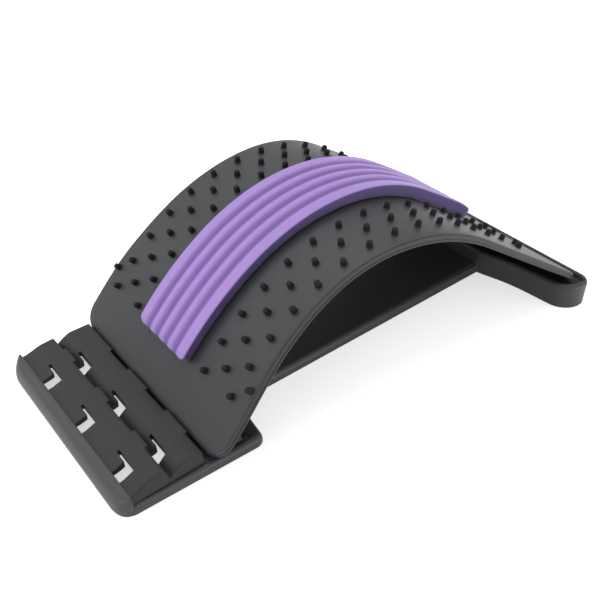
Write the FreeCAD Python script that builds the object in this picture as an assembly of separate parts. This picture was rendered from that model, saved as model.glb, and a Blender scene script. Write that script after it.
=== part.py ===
import FreeCAD, Part
import math
import os

# Lower back massager: a bent plate with soft pins and a foam pad, held by a toothed block at
# its near end and by a trough in the raised bar of the base board at its far end.
# Frame in mm: X along the object from the toothed end, Z up, floor at zero.

# Base board
board_length = 381.0
near_margin = 12.0
near_side_margin = 2.0
mid_side_margin = 5.5
board_corner_radius = 14.0
inner_margin = 8.0
inner_radius = 8.0
waist_run = 9.5
waist_half_share = 0.703
neck_run = 35.5
neck_half_share = 0.527
neck_blend_radius = 24.0
bar_depth = 39.5
bar_face_depth = 31.3
bar_face_half_share = 0.592
bar_shoulder_depth = 26.8
bar_half = 121.0
bar_blend_radius = 6.0
bar_shoulder_radius = 17.0
bar_corner_radius = 10.0
bar_height = 20.0
bar_floor = 16.0
bar_edge_radius = 2.6
bar_rim = 3.4
deck_height = 8.0
deck_edge_radius = 5.2
board_lift = 0.6
wall = 3.0
cut_overrun = 6.0

# Step block, with its teeth and slots as shares of its length from the near end
block_length = 81.0
block_foot_half = 77.0
block_top_half = 74.0
block_seat = 6.5
block_clearance = 0.3
ledge_width = 3.0
tooth_top = 17.6
valley_height = 8.2
back_point_height = 14.0
back_point_share = 0.13
crest_one_share = 0.259
crest_one_edge_share = 0.293
valley_one_share = 0.321
knee_two_share = 0.494
crest_two_edge_share = 0.601
valley_two_share = 0.606
plate_end_share = 0.6185
rise_three_share = 0.691
knee_three_share = 0.846
crest_three_edge_share = 0.914
valley_three_share = 0.951
tooth_back_radius = 26.0
tooth_edge_radius = 1.2
valley_radius = 0.8
slot_near_shares = [0.011, 0.317, 0.611]
slot_far_shares = [0.159, 0.421, 0.7395]
slot_pitch_share = 0.639
slot_front = 11.5
slot_back = 7.5
slot_wide_width = 9.5
slot_arm_width = 3.2
lug_start = 0.5
lug_width = 12.8
lug_reach = 2.2
merlon_width = 24.5
notch_depth = 4.2

# Arch plate, with its legs and radii as shares of the span between its two ends
plate_far_margin = 4.756
plate_near_z = 11.7
near_leg_angle = 48.3
near_leg_share = 0.13753
near_shoulder_radius_share = 0.6781
near_shoulder_angle = 16.6
crown_radius_share = 0.42245
crown_angle = 52.85
far_shoulder_radius_share = 0.50936
far_shoulder_angle = 12.0
far_leg_share = 0.34573
plate_thickness = 3.2
rim_depth = 4.8
rim_width = 2.6
lip_height = 1.7
lip_reach = 0.9
plate_waist_half = 81.0
plate_side_gap = 4.6
near_station_shares = [0.0, 0.045, 0.102, 0.159, 0.216, 0.29, 0.375]
near_width_shares = [1.093, 1.087, 1.07, 1.048, 1.023, 1.005, 1.0]
far_station_shares = [0.455, 0.529, 0.631, 0.771, 1.0]
far_width_shares = [0.045, 0.13, 0.265, 0.515, 1.0]
near_corner_radius = 20.0
far_corner_radius = 7.0
tab_half_width = 9.0
tab_thickness = 2.2
tab_tip_height = 3.0

# Joint at the far end
roll_radius = 2.3
hinge_clearance = 0.3
knuckle_extra = 0.8
knuckle_half_width = 12.0

# Massage pins, placed by shares of the arch's length and of the plate's narrowest half
pin_pitch_share = 0.05685
pin_start_share = 0.1042
pin_first_row_share = 0.511
pin_row_gap_share = 0.178
corner_row_share = 0.988
pin_radius = 2.7
pin_tip_radius = 1.9
pin_height = 5.0
pin_count = 15
pin_sides = 8

# Foam pad
pad_start_share = 0.0926
pad_end_share = 0.9122
pad_half = 27.0
pad_top_half = 25.6
pad_thickness = 8.0
pad_edge_height = 5.6
pad_foot_draw = 0.8
groove_depth = 1.5
ridge_count = 5
near_pad_corner = 4.5
far_pad_corner = 19.0
adhesive_thickness = 0.4
bond_gap = 0.15
adhesive_margin = 1.5

# Anti-slip feet
foot_height = 1.4
foot_near_length = 34.0
foot_near_width = 6.0
foot_near_corner = 2.7
foot_near_inset = 6.9
foot_near_y_share = 0.623
foot_far_radius = 7.0
foot_far_inset = 13.5
foot_far_side = 15.0
boss_margin = 1.2

# Places worked out from the sizes above
near_edge = -board_length / 2
far_edge = board_length / 2
block_near_x = near_edge + near_margin
block_far_x = block_near_x + block_length
board_near_half = block_foot_half + near_side_margin
board_mid_half = block_foot_half + mid_side_margin
inner_x = block_far_x + inner_margin
neck_half = board_mid_half * neck_half_share
slot_pitch = block_foot_half * slot_pitch_share
plate_near_x = block_near_x + block_length * plate_end_share
arch_span = far_edge - plate_far_margin - plate_near_x
crown_radius = arch_span * crown_radius_share
plate_far_half = bar_half - bar_rim - plate_side_gap
V = FreeCAD.Vector


def rounded_wire(points, radii, place):
    """Closed wire through points, each corner rounded by its radius; place maps (a, b) to 3-D."""
    count = len(points)
    starts = []
    ends = []
    mids = []
    for i in range(count):
        ax, ay = points[i - 1]
        bx, by = points[i]
        cx, cy = points[(i + 1) % count]
        back = math.hypot(ax - bx, ay - by)
        ahead = math.hypot(cx - bx, cy - by)
        ux, uy = (ax - bx) / back, (ay - by) / back
        wx, wy = (cx - bx) / ahead, (cy - by) / ahead
        turn = math.pi - math.acos(max(-1.0, min(1.0, ux * wx + uy * wy)))
        reach = radii[i] * math.tan(turn / 2)
        starts.append((bx + ux * reach, by + uy * reach))
        ends.append((bx + wx * reach, by + wy * reach))
        hx, hy = ux + wx, uy + wy
        size = math.hypot(hx, hy)
        drop = radii[i] / math.cos(turn / 2) - radii[i]
        if size > 0:
            mids.append((bx + hx / size * drop, by + hy / size * drop))
        else:
            mids.append((bx, by))
    edges = []
    for i in range(count):
        if radii[i] > 0:
            edges.append(Part.Arc(place(*starts[i]), place(*mids[i]), place(*ends[i])).toShape())
        a = place(*ends[i])
        b = place(*starts[(i + 1) % count])
        if a.distanceToPoint(b) > 0:
            edges.append(Part.makeLine(a, b))
    return Part.Wire(edges)


def slab(points, radii, low, high):
    """Plan outline raised from low to high."""
    wire = rounded_wire(points, radii, lambda a, b: V(a, b, low))
    return Part.Face(wire).extrude(V(0, 0, high - low))


def mirrored(points, radii):
    """Front half of an outline, from near to far, closed with its mirror image."""
    full = list(points) + [(x, -y) for x, y in reversed(points)]
    return full, list(radii) + list(reversed(radii))


def box(x0, x1, y0, y1, z0, z1):
    return Part.makeBox(x1 - x0, y1 - y0, z1 - z0, V(x0, y0, z0))


def arch_pieces():
    """Arch path of the plate's top surface: lengths of straight pieces, radii and angles of round ones."""
    return [
        (arch_span * near_leg_share, 0),
        (arch_span * near_shoulder_radius_share, near_shoulder_angle),
        (crown_radius, crown_angle),
        (arch_span * far_shoulder_radius_share, far_shoulder_angle),
        (arch_span * far_leg_share, 0),
    ]


def piece_length(size, turn):
    if turn == 0:
        return size
    return size * math.radians(turn)


def arch_length():
    return sum(piece_length(size, turn) for size, turn in arch_pieces())


def arch_point(distance, inset):
    """Point and heading (rad) of the arch at a distance along its top, inset below it."""
    heading = math.radians(near_leg_angle)
    x = plate_near_x
    z = plate_near_z
    left = distance
    last = len(arch_pieces()) - 1
    for i, (size, turn) in enumerate(arch_pieces()):
        whole = piece_length(size, turn)
        step = left if i == last else min(left, whole)
        if turn == 0:
            x += step * math.cos(heading)
            z += step * math.sin(heading)
        else:
            angle = step / size
            x += size * (math.sin(heading) - math.sin(heading - angle))
            z += size * (math.cos(heading - angle) - math.cos(heading))
            heading -= angle
        left -= step
        if left <= 0:
            break
    return x + inset * math.sin(heading), z - inset * math.cos(heading), heading


def arch_stretches(start, end):
    """Stretches of the arch from one distance to another, each straight or round as a whole."""
    marks = [start]
    total = 0
    for size, turn in arch_pieces():
        total += piece_length(size, turn)
        if start < total < end:
            marks.append(total)
    marks.append(end)
    return list(zip(marks, marks[1:]))


def arch_edges(start, end, inset, y):
    """Edges of the arch from one distance to another, all at one depth."""
    edges = []
    for a, b in arch_stretches(start, end):
        ax, az, a_heading = arch_point(a, inset)
        mx, mz, heading = arch_point((a + b) / 2, inset)
        bx, bz, b_heading = arch_point(b, inset)
        if math.isclose(a_heading, b_heading):
            edges.append(Part.makeLine(V(ax, y, az), V(bx, y, bz)))
        else:
            edges.append(Part.Arc(V(ax, y, az), V(mx, y, mz), V(bx, y, bz)).toShape())
    return edges


def band(start, end, top, bottom, half):
    """Bent strip between two depths, from one distance to another, full width 2 x half."""
    upper = Part.Wire(arch_edges(start, end, top, -half))
    lower = Part.Wire(arch_edges(start, end, bottom, -half))
    ax, az, _ = arch_point(start, top)
    bx, bz, _ = arch_point(start, bottom)
    cx, cz, _ = arch_point(end, top)
    dx, dz, _ = arch_point(end, bottom)
    near = Part.makeLine(V(ax, -half, az), V(bx, -half, bz))
    far = Part.makeLine(V(cx, -half, cz), V(dx, -half, dz))
    edges = upper.Edges + lower.Edges + [near, far]
    wire = Part.Wire(Part.__sortEdges__(edges))
    return Part.Face(wire).extrude(V(0, 2 * half, 0))


def local_frame(distance, depth):
    """Point, unit vector along the arch and unit normal (up) at a depth below its top."""
    x, z, heading = arch_point(distance, depth)
    along = V(math.cos(heading), 0, math.sin(heading))
    up = V(-math.sin(heading), 0, math.cos(heading))
    return V(x, 0, z), along, up


def corner_cutter(distance, half, radius, side, direction, above, below):
    """Piece outside a rounded corner of a strip, square to the arch at its end."""
    origin, along, up = local_frame(distance, below)
    ahead = along * direction
    out = V(0, side, 0)
    corner = origin + out * half
    start = corner + ahead * radius
    centre = corner + ahead * radius - out * radius
    mid = centre - (ahead - out) * (radius * math.sqrt(0.5))
    end = corner - out * radius
    far = out * cut_overrun - ahead * cut_overrun
    edges = [
        Part.Arc(start, mid, end).toShape(),
        Part.makeLine(end, end - ahead * cut_overrun),
        Part.makeLine(end - ahead * cut_overrun, corner + far),
        Part.makeLine(corner + far, start + out * cut_overrun),
        Part.makeLine(start + out * cut_overrun, start),
    ]
    return Part.Face(Part.Wire(edges)).extrude(up * (above + below))


def plate_stations():
    """Distances along the arch with the plate's half width at each."""
    rows = [(s, plate_waist_half * w) for s, w in zip(near_station_shares, near_width_shares)]
    growth = plate_far_half - plate_waist_half
    rows += [(s, plate_waist_half + growth * w) for s, w in zip(far_station_shares, far_width_shares)]
    return [(arch_length() * s, half) for s, half in rows]


def plan_prism(inset):
    """Upright prism inside the plate's two curved side edges, drawn in by an inset."""
    points = []
    for station, half in plate_stations():
        x, z, _ = arch_point(station, 0)
        points.append((x, half - inset))
    points.insert(0, (points[0][0] - cut_overrun, points[0][1]))
    points.append((points[-1][0] + cut_overrun, points[-1][1]))
    front = Part.BSplineCurve()
    front.interpolate([V(x, -y, 0) for x, y in points])
    rear = Part.BSplineCurve()
    rear.interpolate([V(x, y, 0) for x, y in points])
    near = Part.makeLine(V(points[0][0], -points[0][1], 0), V(points[0][0], points[0][1], 0))
    far = Part.makeLine(V(points[-1][0], -points[-1][1], 0), V(points[-1][0], points[-1][1], 0))
    wire = Part.Wire(Part.__sortEdges__([front.toShape(), rear.toShape(), near, far]))
    return Part.Face(wire).extrude(V(0, 0, 2 * crown_radius))


def plate_blank(top, bottom, inset):
    """Plate layer between two depths, its outline drawn in by an inset."""
    widest = bar_half + block_foot_half
    start = inset
    end = arch_length() - rim_depth / 2
    layer = band(start, end, top, bottom, widest)
    layer = layer.common(plan_prism(inset))
    near_half = plate_stations()[0][1] - inset
    far_half = plate_far_half - inset
    for side in (-1, 1):
        near = corner_cutter(start, near_half, near_corner_radius - inset, side, 1, cut_overrun, 2 * cut_overrun)
        far = corner_cutter(end, far_half, far_corner_radius - inset, side, -1, cut_overrun, 2 * cut_overrun)
        layer = layer.cut(near).cut(far)
    return layer


def hinge_axis():
    """Centre of the rounded far end of the plate, on which it swings."""
    return arch_point(arch_length() - rim_depth / 2, rim_depth / 2)


def end_roll(radius, half):
    """Round bar along Y on the hinge axis."""
    x, z, _ = hinge_axis()
    return Part.makeCylinder(radius, 2 * half, V(x, -half, z), V(0, 1, 0))


def arch_plate():
    """Bent plate: skin, a hanging rim with a lip, prongs at the near end and a rolled far end."""
    skin = plate_blank(0, rim_depth, lip_reach)
    lip = plate_blank(rim_depth - lip_height, rim_depth, 0)
    hollow = plate_blank(plate_thickness, rim_depth + cut_overrun, lip_reach + rim_width)
    plate = skin.fuse(lip).cut(hollow)
    plate = plate.fuse(end_roll(roll_radius, plate_far_half - far_corner_radius - roll_radius))
    for row in (-1, 0, 1):
        centre = row * slot_pitch
        plate = plate.fuse(end_roll_knuckle(centre, 0))
        plate = plate.fuse(near_prong(centre))
    return plate.removeSplitter()


def end_roll_knuckle(centre, clearance):
    """Short, thicker part of the rolled end."""
    x, z, _ = hinge_axis()
    half = knuckle_half_width + clearance
    radius = roll_radius + knuckle_extra + clearance
    return Part.makeCylinder(radius, 2 * half, V(x, centre - half, z), V(0, 1, 0))


def near_prong(centre):
    """Upright prong under the near end that drops into the arm of a slot."""
    far = block_x(slot_far_shares[2]) - block_clearance
    near = far - tab_thickness
    middle = centre + (slot_back - slot_front) / 2
    rise = (far - plate_near_x) * math.tan(math.radians(near_leg_angle))
    top_far = plate_near_z + rise - plate_thickness
    top_near = top_far - tab_thickness * math.tan(math.radians(near_leg_angle))
    tip = tab_thickness / 3
    points = [
        (near + tip, tab_tip_height),
        (far - tip, tab_tip_height),
        (far, tab_tip_height + 2 * tip),
        (far, top_far),
        (near, top_near),
        (near, tab_tip_height + 2 * tip),
    ]
    y = middle - tab_half_width
    wire = rounded_wire(points, [0] * len(points), lambda a, b: V(a, y, b))
    return Part.Face(wire).extrude(V(0, 2 * tab_half_width, 0))


def block_x(share):
    """Place along X at a share of the block's length from its near end."""
    return block_near_x + block_length * share


def block_profile(shift_x, shift_z):
    """Side outline of the toothed block as a face at y = 0."""
    points = [
        (block_near_x, block_seat),
        (block_near_x, deck_height + valley_radius),
        (block_x(back_point_share), back_point_height),
        (block_x(crest_one_share), tooth_top),
        (block_x(crest_one_edge_share), tooth_top),
        (block_x(valley_one_share), valley_height),
        (block_x(knee_two_share), tooth_top),
        (block_x(crest_two_edge_share), tooth_top),
        (block_x(valley_two_share), valley_height),
        (block_x(rise_three_share), valley_height),
        (block_x(knee_three_share), tooth_top),
        (block_x(crest_three_edge_share), tooth_top),
        (block_x(valley_three_share), valley_height),
        (block_far_x, valley_height),
        (block_far_x, block_seat),
    ]
    edge = tooth_edge_radius
    low = valley_radius
    radii = [0, edge, tooth_back_radius, edge, edge, low, edge * 2, edge, 0, low, edge * 2, edge, low, edge, 0]
    wire = rounded_wire(points, radii, lambda a, b: V(a + shift_x, 0, b + shift_z))
    return Part.Face(wire)


def end_draft(foot_half, top_half, low, high, near, far):
    """Prism along X whose two ends lean inwards as they rise."""
    lean = (foot_half - top_half) / (tooth_top - block_seat)
    bottom = foot_half + lean * (block_seat - low)
    top = foot_half - lean * (high - block_seat)
    points = [V(near, -bottom, low), V(near, bottom, low), V(near, top, high), V(near, -top, high)]
    return Part.Face(Part.makePolygon(points + [points[0]])).extrude(V(far - near, 0, 0))


def keyhole(row, centre):
    """L-shaped slot: a wide part towards the front and a narrow arm to the rear."""
    near = block_x(slot_near_shares[row])
    far = block_x(slot_far_shares[row])
    low = -cut_overrun
    high = tooth_top + cut_overrun
    front = centre - slot_front
    wide = box(near, far, front, front + slot_wide_width, low, high)
    arm = box(far - slot_arm_width, far, front, centre + slot_back, low, high)
    return wide.fuse(arm)


def step_block():
    """Toothed shell with three rows of keyhole slots, lugs on crest one, merlons on crest two."""
    full = block_foot_half + cut_overrun
    solid = block_profile(0, 0).extrude(V(0, 2 * full, 0))
    solid.translate(V(0, -full, 0))
    near = block_near_x - cut_overrun
    far = block_far_x + cut_overrun
    low = block_seat - cut_overrun
    high = tooth_top + cut_overrun
    solid = solid.common(end_draft(block_foot_half, block_top_half, low, high, near, far))
    inner = block_profile(0, -wall).extrude(V(0, 2 * full, 0))
    inner = inner.common(block_profile(-wall, -wall).extrude(V(0, 2 * full, 0)))
    inner.translate(V(0, -full, 0))
    draft = end_draft(block_foot_half - wall, block_top_half - wall, low, high, near, far)
    inner = inner.common(draft).common(box(block_near_x + wall, block_far_x - wall, -full, full, low, high))
    solid = solid.cut(inner)
    below = box(block_near_x + wall, block_far_x - wall, -block_foot_half + wall, block_foot_half - wall,
                block_seat - wall, block_seat + (valley_height - wall - block_seat) / 2)
    solid = solid.cut(below)
    for centre in (-slot_pitch, 0, slot_pitch):
        solid = solid.fuse(crest_lug(centre))
    crest = block_x(crest_two_edge_share)
    for start, end in notch_spans():
        notch = box(crest - notch_depth, block_x(valley_two_share), start, end, valley_height, high)
        solid = solid.cut(notch)
    for row in (0, 1, 2):
        for centre in (-slot_pitch, 0, slot_pitch):
            solid = solid.cut(keyhole(row, centre))
    return solid.removeSplitter()


def crest_lug(centre):
    """Small tongue on the first crest that reaches over the slot behind it."""
    crest = block_x(crest_one_edge_share)
    points = [
        (crest - lug_reach, tooth_top - wall),
        (crest - lug_reach, tooth_top),
        (crest + lug_reach, tooth_top),
        (crest + lug_reach, tooth_top - wall),
    ]
    wire = rounded_wire(points, [0, 0, tooth_edge_radius, 0], lambda a, b: V(a, centre - lug_start, b))
    return Part.Face(wire).extrude(V(0, lug_width, 0))


def notch_spans():
    """Spans along Y between the raised parts of the second crest."""
    edges = []
    half = merlon_width / 2
    centres = [-slot_pitch, 0, slot_pitch]
    last = -block_foot_half
    for centre in centres:
        edges.append((last, centre - half))
        last = centre + half
    edges.append((last, block_foot_half))
    return edges


def board_outline(inset):
    """Front half of the board's plan outline, near end first."""
    waist_half = board_mid_half * waist_half_share
    points = [
        (near_edge + inset, -(board_near_half - inset)),
        (inner_x - inset, -(board_mid_half - inset)),
        (inner_x + waist_run - inset, -(waist_half - inset)),
        (inner_x + neck_run - inset, -(neck_half - inset)),
        (far_edge - bar_depth + bar_rim, -(neck_half - inset)),
    ]
    radii = [board_corner_radius - inset, inner_radius, 2 * inner_radius, neck_blend_radius + inset, 0]
    return points, radii


def bar_outline(inset):
    """Front half of the far bar's plan outline."""
    face_half = bar_half * bar_face_half_share
    inner = far_edge - bar_depth + inset
    points = [
        (inner, -(neck_half - bar_blend_radius)),
        (inner, -neck_half),
        (far_edge - bar_face_depth + inset, -face_half),
        (far_edge - bar_shoulder_depth + inset, -(bar_half - inset)),
        (far_edge - inset, -(bar_half - inset)),
    ]
    radii = [0, 2 * bar_blend_radius, 2 * face_half, bar_shoulder_radius - inset, bar_corner_radius - inset]
    return points, radii


def top_rim_edges(shape, height):
    """Edges that lie in the plane z = height."""
    found = []
    for edge in shape.Edges:
        extent = edge.BoundBox
        if max(abs(extent.ZMin - height), abs(extent.ZMax - height)) < board_lift / 2:
            found.append(edge)
    return found


def base_board():
    """Moulded shell: a low deck with a window for the block, a neck and a raised far bar."""
    points, radii = mirrored(*board_outline(0))
    deck = slab(points, radii, board_lift, deck_height)
    edges = [e for e in top_rim_edges(deck, deck_height) if e.BoundBox.XMin < far_edge - bar_depth]
    deck = deck.makeFillet(deck_edge_radius, edges)
    points, radii = mirrored(*bar_outline(0))
    bar = slab(points, radii, board_lift, bar_height)
    bar = bar.makeFillet(bar_edge_radius, top_rim_edges(bar, bar_height))
    board = deck.fuse(bar)
    points, radii = mirrored(*board_outline(wall))
    board = board.cut(slab(points, radii, -cut_overrun, deck_height - wall))
    points, radii = mirrored(*bar_outline(bar_rim))
    board = board.cut(slab(points, radii, bar_floor, bar_height + cut_overrun))
    points, radii = mirrored(*bar_outline(wall))
    board = board.cut(slab(points, radii, -cut_overrun, bar_floor - wall))
    board = board.cut(end_roll(roll_radius + hinge_clearance, bar_half - bar_rim))
    for row in (-1, 0, 1):
        board = board.cut(end_roll_knuckle(row * slot_pitch, hinge_clearance))
    board = board.cut(block_window())
    for side in (-1, 1):
        board = board.fuse(near_boss(side)).fuse(far_boss(side))
    return board.removeSplitter()


def block_window():
    """Recess and through window in the deck for the toothed block."""
    near = block_near_x - block_clearance
    far = block_far_x + block_clearance
    half = block_foot_half + block_clearance
    recess = box(near, far, -half, half, block_seat, deck_height + cut_overrun)
    inner = block_foot_half - ledge_width
    through = box(block_near_x + ledge_width, block_far_x - ledge_width, -inner, inner, -cut_overrun, deck_height)
    return recess.fuse(through)


def near_foot_place(side):
    """Centre of a near foot in plan."""
    return near_edge + foot_near_inset, side * block_foot_half * foot_near_y_share


def far_foot_place(side):
    """Centre of a far foot in plan."""
    return far_edge - foot_far_inset, side * (bar_half - foot_far_side)


def near_boss(side):
    """Solid block inside the shell that carries a near foot."""
    half_x = foot_near_width / 2 + boss_margin
    half_y = foot_near_length / 2 + boss_margin
    x, y = near_foot_place(side)
    return box(x - half_x, x + half_x, y - half_y, y + half_y, foot_height, deck_height - wall)


def far_boss(side):
    """Round post inside the bar that carries a far foot."""
    x, y = far_foot_place(side)
    base = V(x, y, foot_height)
    return Part.makeCylinder(foot_far_radius + boss_margin, bar_floor - wall - foot_height, base)


def near_foot(side):
    """Oblong anti-slip pad."""
    half_x = foot_near_width / 2
    half_y = foot_near_length / 2
    x, y = near_foot_place(side)
    points = [(x - half_x, y - half_y), (x + half_x, y - half_y), (x + half_x, y + half_y), (x - half_x, y + half_y)]
    return slab(points, [foot_near_corner] * 4, 0, foot_height)


def far_foot(side):
    """Round anti-slip pad."""
    x, y = far_foot_place(side)
    return Part.makeCylinder(foot_far_radius, foot_height, V(x, y, 0))


def pin(distance, y):
    """Tapered eight-sided massage pin standing square on the plate."""
    point, along, up = local_frame(distance, 0)
    foot = V(point.x, y, point.z)
    tip = foot + up * pin_height
    turns = [2 * math.pi * (i + 0.5) / pin_sides for i in range(pin_sides)]
    spokes = [along * math.cos(t) + V(0, math.sin(t), 0) for t in turns]
    low = [foot + spoke * pin_radius for spoke in spokes]
    high = [tip + spoke * pin_tip_radius for spoke in spokes]
    loops = [low, high]
    for i in range(pin_sides):
        loops.append([low[i - 1], low[i], high[i], high[i - 1]])
    faces = [Part.Face(Part.makePolygon(loop + [loop[0]])) for loop in loops]
    solid = Part.Solid(Part.Shell(faces))
    if solid.Volume < 0:
        solid.reverse()
    return solid


def pin_row(y, offset, count):
    """Row of pins along the arch."""
    start = arch_length() * pin_start_share + offset
    return Part.makeCompound([pin(start + i * pin_pitch(), y) for i in range(count)])


def pin_pitch():
    """Distance between the pins of a row, along the arch."""
    return arch_length() * pin_pitch_share


def pad_ends():
    """Distances along the arch at which the pad starts and ends."""
    return arch_length() * pad_start_share, arch_length() * pad_end_share


def pad_section(distance):
    """Cross section of the pad at a distance along the arch: five ridges over rounded sides."""
    crest = pad_thickness
    valley = pad_thickness - groove_depth
    low = adhesive_thickness + 2 * bond_gap
    pitch = 2 * pad_top_half / ridge_count
    shoulder = pad_edge_height + groove_depth / 3
    edges = []
    origin, along, up = local_frame(distance, 0)

    def at(y, h):
        return V(origin.x, y, origin.z) + up * h

    foot = pad_half - pad_foot_draw
    belly = pad_edge_height / 2
    edges.append(Part.makeLine(at(foot, low), at(-foot, low)))
    edges.append(Part.Arc(at(-foot, low), at(-pad_half, belly), at(-pad_top_half, shoulder)).toShape())
    for i in range(ridge_count):
        a = -pad_top_half + i * pitch
        b = a + pitch
        left = shoulder if i == 0 else valley
        right = shoulder if i == ridge_count - 1 else valley
        start = at(a, left)
        middle = at((a + b) / 2, crest)
        end = at(b, right)
        edges.append(Part.Arc(start, middle, end).toShape())
    edges.append(Part.Arc(at(pad_top_half, shoulder), at(pad_half, belly), at(foot, low)).toShape())
    return Part.Wire(edges)


def arch_radius(distance):
    """Radius of the arch's top at a distance along it, or nothing on a straight stretch."""
    for size, turn in arch_pieces():
        whole = piece_length(size, turn)
        if distance < whole:
            return size if turn > 0 else None
        distance -= whole
    return None


def pad_stretch(a, b):
    """Length of the pad over one straight or round stretch of the arch."""
    face = Part.Face(pad_section(a))
    radius = arch_radius((a + b) / 2)
    if radius is None:
        origin, along, up = local_frame(a, 0)
        return face.extrude(along * (b - a))
    centre, along, up = local_frame(a, radius)
    return face.revolve(centre, V(0, 1, 0), math.degrees((b - a) / radius))


def foam_pad():
    """Foam pad along the arch, with rounded corners in plan."""
    start, end = pad_ends()
    stretches = [pad_stretch(a, b) for a, b in arch_stretches(start, end)]
    body = stretches[0].fuse(stretches[1:])
    above = pad_thickness + cut_overrun
    for side in (-1, 1):
        body = body.cut(corner_cutter(start, pad_half, near_pad_corner, side, 1, above, cut_overrun))
        body = body.cut(corner_cutter(end, pad_half, far_pad_corner, side, -1, above, cut_overrun))
    return body


def pad_adhesive():
    """Thin double-sided strip under the pad."""
    half = pad_half - 2 * adhesive_margin
    start = pad_ends()[0] + adhesive_margin
    end = pad_ends()[1] - adhesive_margin
    strip = band(start, end, -bond_gap - adhesive_thickness, -bond_gap, half)
    radius = far_pad_corner - adhesive_margin
    for side in (-1, 1):
        strip = strip.cut(corner_cutter(end, half, radius, side, -1, cut_overrun, cut_overrun))
    return strip


def build():
    shapes = {}
    shapes["base_board"] = base_board()
    shapes["step_block"] = step_block()
    shapes["arch_plate"] = arch_plate()
    for name, side in (("front", -1), ("rear", 1)):
        inner = side * plate_waist_half * pin_first_row_share
        gap = side * plate_waist_half * pin_row_gap_share
        shapes["pins_" + name + "_inner"] = pin_row(inner, 0, pin_count)
        shapes["pins_" + name + "_middle"] = pin_row(inner + gap, pin_pitch() / 2, pin_count - 1)
        shapes["pins_" + name + "_outer"] = pin_row(inner + 2 * gap, 0, pin_count)
    corner_start = arch_length() * pin_start_share + pin_pitch() / 2
    corner_end = corner_start + (pin_count - 2) * pin_pitch()
    corner_row = plate_waist_half * corner_row_share
    corners = [pin(d, side * corner_row) for d in (corner_start, corner_end) for side in (-1, 1)]
    shapes["pins_corner"] = Part.makeCompound(corners)
    shapes["foam_pad"] = foam_pad()
    shapes["pad_adhesive"] = pad_adhesive()
    for name, side in (("front", -1), ("rear", 1)):
        shapes["foot_near_" + name] = near_foot(side)
        shapes["foot_far_" + name] = far_foot(side)
    return shapes


os.makedirs("parts", exist_ok=True)
for node, shape in build().items():
    shape.exportStep("parts/" + node + ".step")
    print(node, shape.isValid(), len(shape.Solids), round(shape.Volume), shape.BoundBox)
x, z, _ = hinge_axis()
print("hinge axis", round(x, 3), round(z, 3))
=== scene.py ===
# %% [markdown]
# # Lower back massager: an arched plate on a toothed base
#
# The product is a flexible plastic plate, bent into an arch, that stands on a flat moulded board.
# At its near end the plate hooks into one of three rows of slots in a toothed block, and that
# row sets how high the arch is. At its far end it turns in a trough in the raised bar of the
# board. A strip of ridged foam is glued along the crown, and 92 soft pins stand on both sides.
#
# The CAD model holds every solid in its true place. This notebook loads it as a fixed frame,
# remakes the pieces whose surface a visitor looks at (plate, pins, foam, toothed block and
# board), and gives every other solid its tape or rubber.

# %% Frame, box and units
import math

import bmesh
import bpy
from mathutils import Matrix, Vector


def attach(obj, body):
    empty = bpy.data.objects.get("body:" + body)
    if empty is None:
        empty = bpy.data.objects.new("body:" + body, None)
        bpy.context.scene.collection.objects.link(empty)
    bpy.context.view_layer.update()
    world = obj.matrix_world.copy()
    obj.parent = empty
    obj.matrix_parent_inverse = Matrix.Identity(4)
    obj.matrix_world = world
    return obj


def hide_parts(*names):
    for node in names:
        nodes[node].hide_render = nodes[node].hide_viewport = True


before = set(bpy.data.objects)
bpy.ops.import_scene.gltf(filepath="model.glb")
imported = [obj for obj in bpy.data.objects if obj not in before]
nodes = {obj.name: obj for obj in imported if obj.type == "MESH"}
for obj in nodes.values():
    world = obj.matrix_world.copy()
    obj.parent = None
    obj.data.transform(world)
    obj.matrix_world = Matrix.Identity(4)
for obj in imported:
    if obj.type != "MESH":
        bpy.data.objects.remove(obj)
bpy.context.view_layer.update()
MM = 0.001

# %% [markdown]
# ## A small language for node trees
#
# Shaders and Geometry Nodes are both trees of sockets, and long to write socket by socket, so
# two small classes carry the work. `Field` wraps an output socket and lets Python's operators
# add Math nodes, so `0.4 + wrinkle * 0.2` is one readable line. `Tree` adds any other node with
# one method: its type, its settings, which decide the sockets it shows, and its inputs.

# %% Field and Tree
class Field:
    """An output socket that can be used in arithmetic."""

    def __init__(self, tree, socket):
        self.tree = tree
        self.socket = socket

    def other(self, name):
        """Another output of the same node."""
        return Field(self.tree, self.socket.node.outputs[name])

    def __add__(self, b):
        return self.tree.math("ADD", self, b)

    def __radd__(self, b):
        return self.tree.math("ADD", b, self)

    def __sub__(self, b):
        return self.tree.math("SUBTRACT", self, b)

    def __mul__(self, b):
        return self.tree.math("MULTIPLY", self, b)

    def clamped(self):
        return self.tree.add("ShaderNodeClamp", {}, {0: self})

    def step(self, low, high):
        """0 below low, 1 above high, eased between."""
        return self.tree.add("ShaderNodeMapRange", {"interpolation_type": "SMOOTHSTEP"},
                             {"Value": self, "From Min": low, "From Max": high})


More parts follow.
